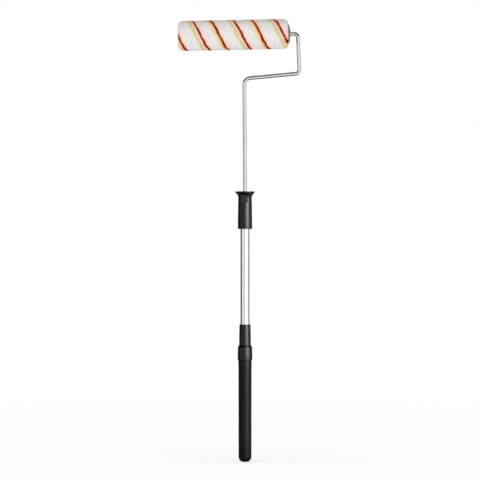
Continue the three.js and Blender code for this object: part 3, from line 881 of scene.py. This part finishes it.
AXLE_START = -113.1
LEG_TOP_REACH = 133.7
LEG_FOOT = Vector((112.7, 0, 803.8))
ARM_END = Vector((-1.3, 0, 793.1))
SHANK_FOOT = Vector((0, 0, 575))
BENDS = (8.5, 8, 13, 300)

COLLAR_FOOT_RADIUS = 15.0
COLLAR_GROOVE_AT = 4.6
COLLAR_GROOVE = {"wall": 0.4, "width": 0.9, "radii": (15.05, 14.7, 14.95), "size": 0.4}
COLLAR_SHOULDER = (14.45, 528, 8)
COLLAR_TAPER = (14.15, 540, 8)
COLLAR_NECK = (14.0, 547.5, 2.5)
COLLAR_FLARE = (15.7, 552.3, 3)
FLANGE_EDGE = 2.2
TRAY_RADII = (6.6, 7.4, 15.6, 16.5)
TRAY_DEPTH = 0.5
RECESS_CENTRE = (-1.5, 541)
RECESS_RADIUS = 7
RECESS_TOP = 551.5
RECESS_FACE = 12.0
RECESS_REACH = 10

INNER_TUBE_WALL = 1.2
OUTER_TUBE_WALL = 0.95
PLUG_BORE = 4
PLUG_SPIGOT = 8
PLUG_FLANGE = 8
PLUG_GROOVE_AT = 3.4
PLUG_GROOVE_WALL = 0.3
PLUG_GROOVE_WIDTH = 0.8
PLUG_GROOVE_DEPTH = 0.8


def frame_rod(finish):
    """One bent bar: axle, outer leg, lower arm and shank."""
    centre = ROLLER_CENTRE / MM
    shank_end = Vector((0, 0, upright("frame_rod")[0]))
    corners = [centre + AXLE * AXLE_START, centre + AXLE * LEG_TOP_REACH, LEG_FOOT, ARM_END,
               SHANK_FOOT, shank_end]
    piece = sweep("frame_rod_fine", bent_line(corners, BENDS), ROD_RADIUS)
    fit(piece, "pole", "rod_chrome", finish, "frame_rod")


def front_collar(finish, flat_finish):
    """Collar with a foot band, a slimmer neck, a wide matt-topped flange and a thumb recess."""
    foot, top, flange = upright("front_collar")
    tube_bore = upright("inner_tube")[2] + CLEARANCE
    rod_bore = ROD_RADIUS + CLEARANCE
    step = upright("inner_tube")[1] + CLEARANCE
    inner_rim, inner_foot, outer_foot, outer_rim = TRAY_RADII
    tray = top - TRAY_DEPTH
    outline = [
        (tube_bore, foot, 0.4), (COLLAR_FOOT_RADIUS, foot, 1.4),
        *groove(foot + COLLAR_GROOVE_AT, **COLLAR_GROOVE),
        COLLAR_SHOULDER, COLLAR_TAPER, COLLAR_NECK, COLLAR_FLARE,
        (flange, top - FLANGE_EDGE, 0.8), (flange, top, 1.0),
        (outer_rim, top, 0.6), (outer_foot, tray, 0.6), (inner_foot, tray, 0.6), (inner_rim, top, 0.5),
        (rod_bore, top, 0.5), (rod_bore, step), (tube_bore, step),
    ]
    piece = turned("front_collar_fine", outline)
    slot = slot_outline(RECESS_CENTRE, RECESS_RADIUS, RECESS_TOP)
    cut_away(piece, prism(slot, RECESS_FACE, RECESS_FACE + RECESS_REACH, front_place()))
    fit(piece, "pole", "black_plastic", finish, "front_collar")
    piece.data.materials.append(flat_finish)
    for face in piece.data.polygons:
        on_top = face.normal.z > 0.5 and face.center.z > (top - 2 * TRAY_DEPTH) * MM
        if on_top:
            face.material_index = 1
    return piece


def plain_tube(name, body, wall, finish):
    """A drawn tube with softened ends."""
    foot, top, outer = upright(name)
    inner = outer - wall
    outline = [(inner, foot, 0.3), (outer, foot, 0.35), (outer, top, 0.35), (inner, top, 0.3)]
    fit(turned(name + "_fine", outline), body, "tube_aluminium", finish, name)


def shank_insert(finish):
    """Plug that centres the rod in the top of the sliding tube."""
    foot, top, outer = upright("shank_insert")
    bore = ROD_RADIUS + CLEARANCE
    outline = [(bore, foot, 0.4), (outer, foot, 0.8), (outer, top, 0.4), (bore, top, 0.4)]
    fit(turned("shank_insert_fine", outline), "pole", "nylon", finish, "shank_insert")


def glide_plug(finish):
    """Plug in the foot of the sliding tube, with a grooved flange that runs in the handle tube."""
    foot, top, outer = upright("glide_plug")
    flange_top = foot + PLUG_FLANGE
    radii = (outer, outer - PLUG_GROOVE_DEPTH, outer)
    outline = [
        (PLUG_BORE, foot, 0.4), (outer, foot, 0.8),
        *groove(foot + PLUG_GROOVE_AT, PLUG_GROOVE_WALL, PLUG_GROOVE_WIDTH, radii, GROOVE_FILLET),
        (outer, flange_top, 0.5), (PLUG_SPIGOT, flange_top, 0.2), (PLUG_SPIGOT, top, 1.2),
        (PLUG_BORE, top, 0.4),
    ]
    fit(turned("glide_plug_fine", outline), "glide", "nylon", finish, "glide_plug")


# ---------------------------------------------------------------- twist lock and handle

NUT_GROOVE_AT = 2.5
NUT_GROOVE = {"wall": 0.3, "width": 0.6, "radii": (15.4, 15.1, 15.35), "size": 0.3}
NUT_WAIST = (14.95, 236.4, 1.6)
NUT_NECK = (12.15, 242, 3)
NUT_SLEEVE = (12.05, 264, 12)
NUT_LIP_RADIUS = 11.4
NUT_LIP = 1.5
NUT_LIP_DRAFT = 0.1
NUT_BORE = 9.9
NUT_THREAD_RADIUS = 12.95
NUT_THREAD_TOP = 226
NUT_CONE_RADIUS = 11.95
NUT_CONE_TOP = 239.8
COLLET_BORE = 9.8
COLLET_BAND = 3.7
COLLET_LIP_RADIUS = 11.45
COLLET_SLOTS = 3
COLLET_SLOT_LENGTH = 27
COLLET_SLOT_WIDTH = 1.2
COLLET_SLOT_AT = 4.7
THREAD_CRESTS = 4
THREAD_ROOT = 12.1
CREST_START = 0.3
CREST_END = 0.7
SEAT_RADIUS = 11.3

GRIP_FOOT_RADIUS = 13.33
GRIP_LOWER = (13.47, 63, 30)
GRIP_WAIST = (13.35, 90, 30)
GRIP_UPPER = (13.47, 121, 30)
GRIP_FILLET_STEPS = 8
RING_LOWER_LIP = (12.9, 0.25)
RING_UPPER_LIP = (12.8, 0.4)
RING_GROOVE_AT = 3.1
RING_GROOVE_WIDTH = 0.8
RING_GROOVE_DEPTH = 0.35
CAP_LIP = (12.7, 0.25)
CAP_FLAT_RADIUS = 4
CAP_DOME = 10.8
CAP_FLOOR = 14.8
SPIGOT_RADIUS = 9.7
SPIGOT_INNER = 7.5
CAP_RECESS_CENTRE = (2, 8.4)
CAP_RECESS_RADIUS = 4.5
CAP_RECESS_TOP = 8.9
CAP_RECESS_FACE = 9.5
CAP_RECESS_END = 20


def lock_nut(finish):
    """Tapered nut: a wide skirt with a thin band at its foot, a shoulder and a slim sleeve."""
    foot, top, skirt = upright("lock_nut")
    outline = [
        (NUT_THREAD_RADIUS, foot, 0.3), (skirt, foot, 0.8),
        *groove(foot + NUT_GROOVE_AT, **NUT_GROOVE),
        NUT_WAIST, NUT_NECK, NUT_SLEEVE, (NUT_LIP_RADIUS + NUT_LIP_DRAFT, top - NUT_LIP, 0.4),
        (NUT_LIP_RADIUS, top, 0.9), (NUT_BORE, top, 0.3), (NUT_BORE, NUT_CONE_TOP),
        (NUT_CONE_RADIUS, NUT_CONE_TOP), (NUT_THREAD_RADIUS, NUT_THREAD_TOP),
    ]
    return fit(turned("lock_nut_fine", outline), "lock_nut", "black_plastic", finish, "lock_nut")


def lock_collet(finish):
    """Six fingers on a ring, which the nut's cone presses on the tube."""
    foot, top, outer = upright("lock_collet")
    outline = [
        (COLLET_BORE, foot, 0.2), (outer, foot, 0.4), (outer, foot + COLLET_BAND, 0.5),
        (COLLET_LIP_RADIUS, top, 0.5), (COLLET_BORE, top, 0.3),
    ]
    piece = turned("lock_collet_fine", outline)
    for i in range(COLLET_SLOTS):
        turn = Matrix.Rotation(math.pi * (i + 0.5) / COLLET_SLOTS, 4, "Z")
        slot = box_outline(0, 0, COLLET_SLOT_LENGTH, COLLET_SLOT_WIDTH)
        cut_away(piece, prism(slot, foot + COLLET_SLOT_AT, top + CUT_OVERRUN, turn))
    fit(piece, "handle", "nylon", finish, "lock_collet")


def lock_base(finish):
    """Ferrule with thread crests."""
    foot, top, crest = upright("lock_base")
    pitch = (top - foot) / THREAD_CRESTS
    outline = [(SEAT_RADIUS, foot, 0.2)]
    for i in range(THREAD_CRESTS):
        start = foot + i * pitch
        outline += [
            (THREAD_ROOT, start, 0.3), (crest, start + CREST_START * pitch, 0.3),
            (crest, start + CREST_END * pitch, 0.3),
        ]
    outline += [(THREAD_ROOT, top, 0.3), (SEAT_RADIUS, top, 0.2)]
    fit(turned("lock_base_fine", outline), "handle", "nylon", finish, "lock_base")


def grip_sleeve(finish):
    """Soft sleeve, a little slimmer below its middle."""
    foot, top, head = upright("grip_sleeve")
    outline = [
        (SEAT_RADIUS, foot, 0.2), (GRIP_FOOT_RADIUS, foot, 0.6), GRIP_LOWER, GRIP_WAIST, GRIP_UPPER,
        (head, top, 0.6), (SEAT_RADIUS, top, 0.2),
    ]
    piece = turned("grip_sleeve_fine", outline, steps=GRIP_FILLET_STEPS)
    return fit(piece, "handle", "grip", finish, "grip_sleeve")


def grip_ring(finish):
    """Hard ring with one groove, and a low lip at each end that closes the seam beside it."""
    foot, top, outer = upright("grip_ring")
    lower, lower_end = RING_LOWER_LIP[0], foot - RING_LOWER_LIP[1]
    upper, upper_end = RING_UPPER_LIP[0], top + RING_UPPER_LIP[1]
    groove_foot, bottom = top - RING_GROOVE_AT, outer - RING_GROOVE_DEPTH
    outline = [
        (SEAT_RADIUS, lower_end), (lower, lower_end), (lower, foot), (outer, foot, 0.4),
        (outer, groove_foot, GROOVE_FILLET),
        (bottom, groove_foot + RING_GROOVE_WIDTH / 2, GROOVE_FILLET),
        (outer, groove_foot + RING_GROOVE_WIDTH, GROOVE_FILLET), (outer, top, 0.4),
        (upper, top), (upper, upper_end), (SEAT_RADIUS, upper_end),
    ]
    return fit(turned("grip_ring_fine", outline), "handle", "black_plastic", finish, "grip_ring")


def end_cap(finish):
    """Domed plug with a hollow spigot, a low lip that closes the seam, and a recess in front."""
    _, top, outer = upright("end_cap")
    rim = upright("grip_sleeve")[0] - CLEARANCE
    lip, lip_end = CAP_LIP[0], rim + CAP_LIP[1]
    dome = arc((CAP_FLAT_RADIUS, CAP_DOME), (outer - CAP_FLAT_RADIUS, CAP_DOME), -90, 0)
    outline = [
        (0, 0), *dome, (outer, rim, 0.6), (lip, rim), (lip, lip_end), (SPIGOT_RADIUS, lip_end),
        (SPIGOT_RADIUS, top, 0.5), (SPIGOT_INNER, top, 0.3), (SPIGOT_INNER, CAP_FLOOR), (0, CAP_FLOOR),
    ]
    piece = turned("end_cap_fine", outline, closed=False)
    slot = slot_outline(CAP_RECESS_CENTRE, CAP_RECESS_RADIUS, CAP_RECESS_TOP)
    cut_away(piece, prism(slot, CAP_RECESS_FACE, CAP_RECESS_END, front_place()))
    return fit(piece, "handle", "cap_plastic", finish, "end_cap")


# ---------------------------------------------------------------- the whole scene

def main():
    """Build the room and every piece. The key light's collection takes the black mouldings."""
    add_world()
    add_floor()
    add_camera()
    moulded = add_key_light()
    nap = nap_material()
    finish = finishes()
    points, normals = nap_surface()
    nap_sleeve(points, nap)
    nap_tips("nap_tips_1", 11, points, normals, nap)
    nap_tips("nap_tips_2", 12, points, normals, nap)
    core_tube(finish["core"])
    for end in ("inner", "outer"):
        cage_cap(f"cage_cap_{end}", finish["zinc"])
        axle_bush(f"axle_bush_{end}", finish["nylon"])
    for i, angle in enumerate(WIRE_ANGLES):
        cage_wire(i + 1, angle, finish["zinc"])
    axle_ring("axle_push_nut", PUSH_NUT_TEETH, finish["zinc"])
    axle_ring("axle_stop_ring", 0, finish["zinc"])
    frame_rod(finish["rod"])
    moulded.objects.link(front_collar(finish["black"], finish["matt"]))
    shank_insert(finish["nylon"])
    plain_tube("inner_tube", "pole", INNER_TUBE_WALL, finish["drawn"])
    plain_tube("outer_tube", "handle", OUTER_TUBE_WALL, finish["drawn"])
    glide_plug(finish["nylon"])
    moulded.objects.link(lock_nut(finish["black"]))
    lock_collet(finish["nylon"])
    lock_base(finish["nylon"])
    moulded.objects.link(grip_sleeve(finish["soft"]))
    moulded.objects.link(grip_ring(finish["ring"]))
    moulded.objects.link(end_cap(finish["cap"]))


bpy.context.scene.view_settings.view_transform = "Standard"
main()
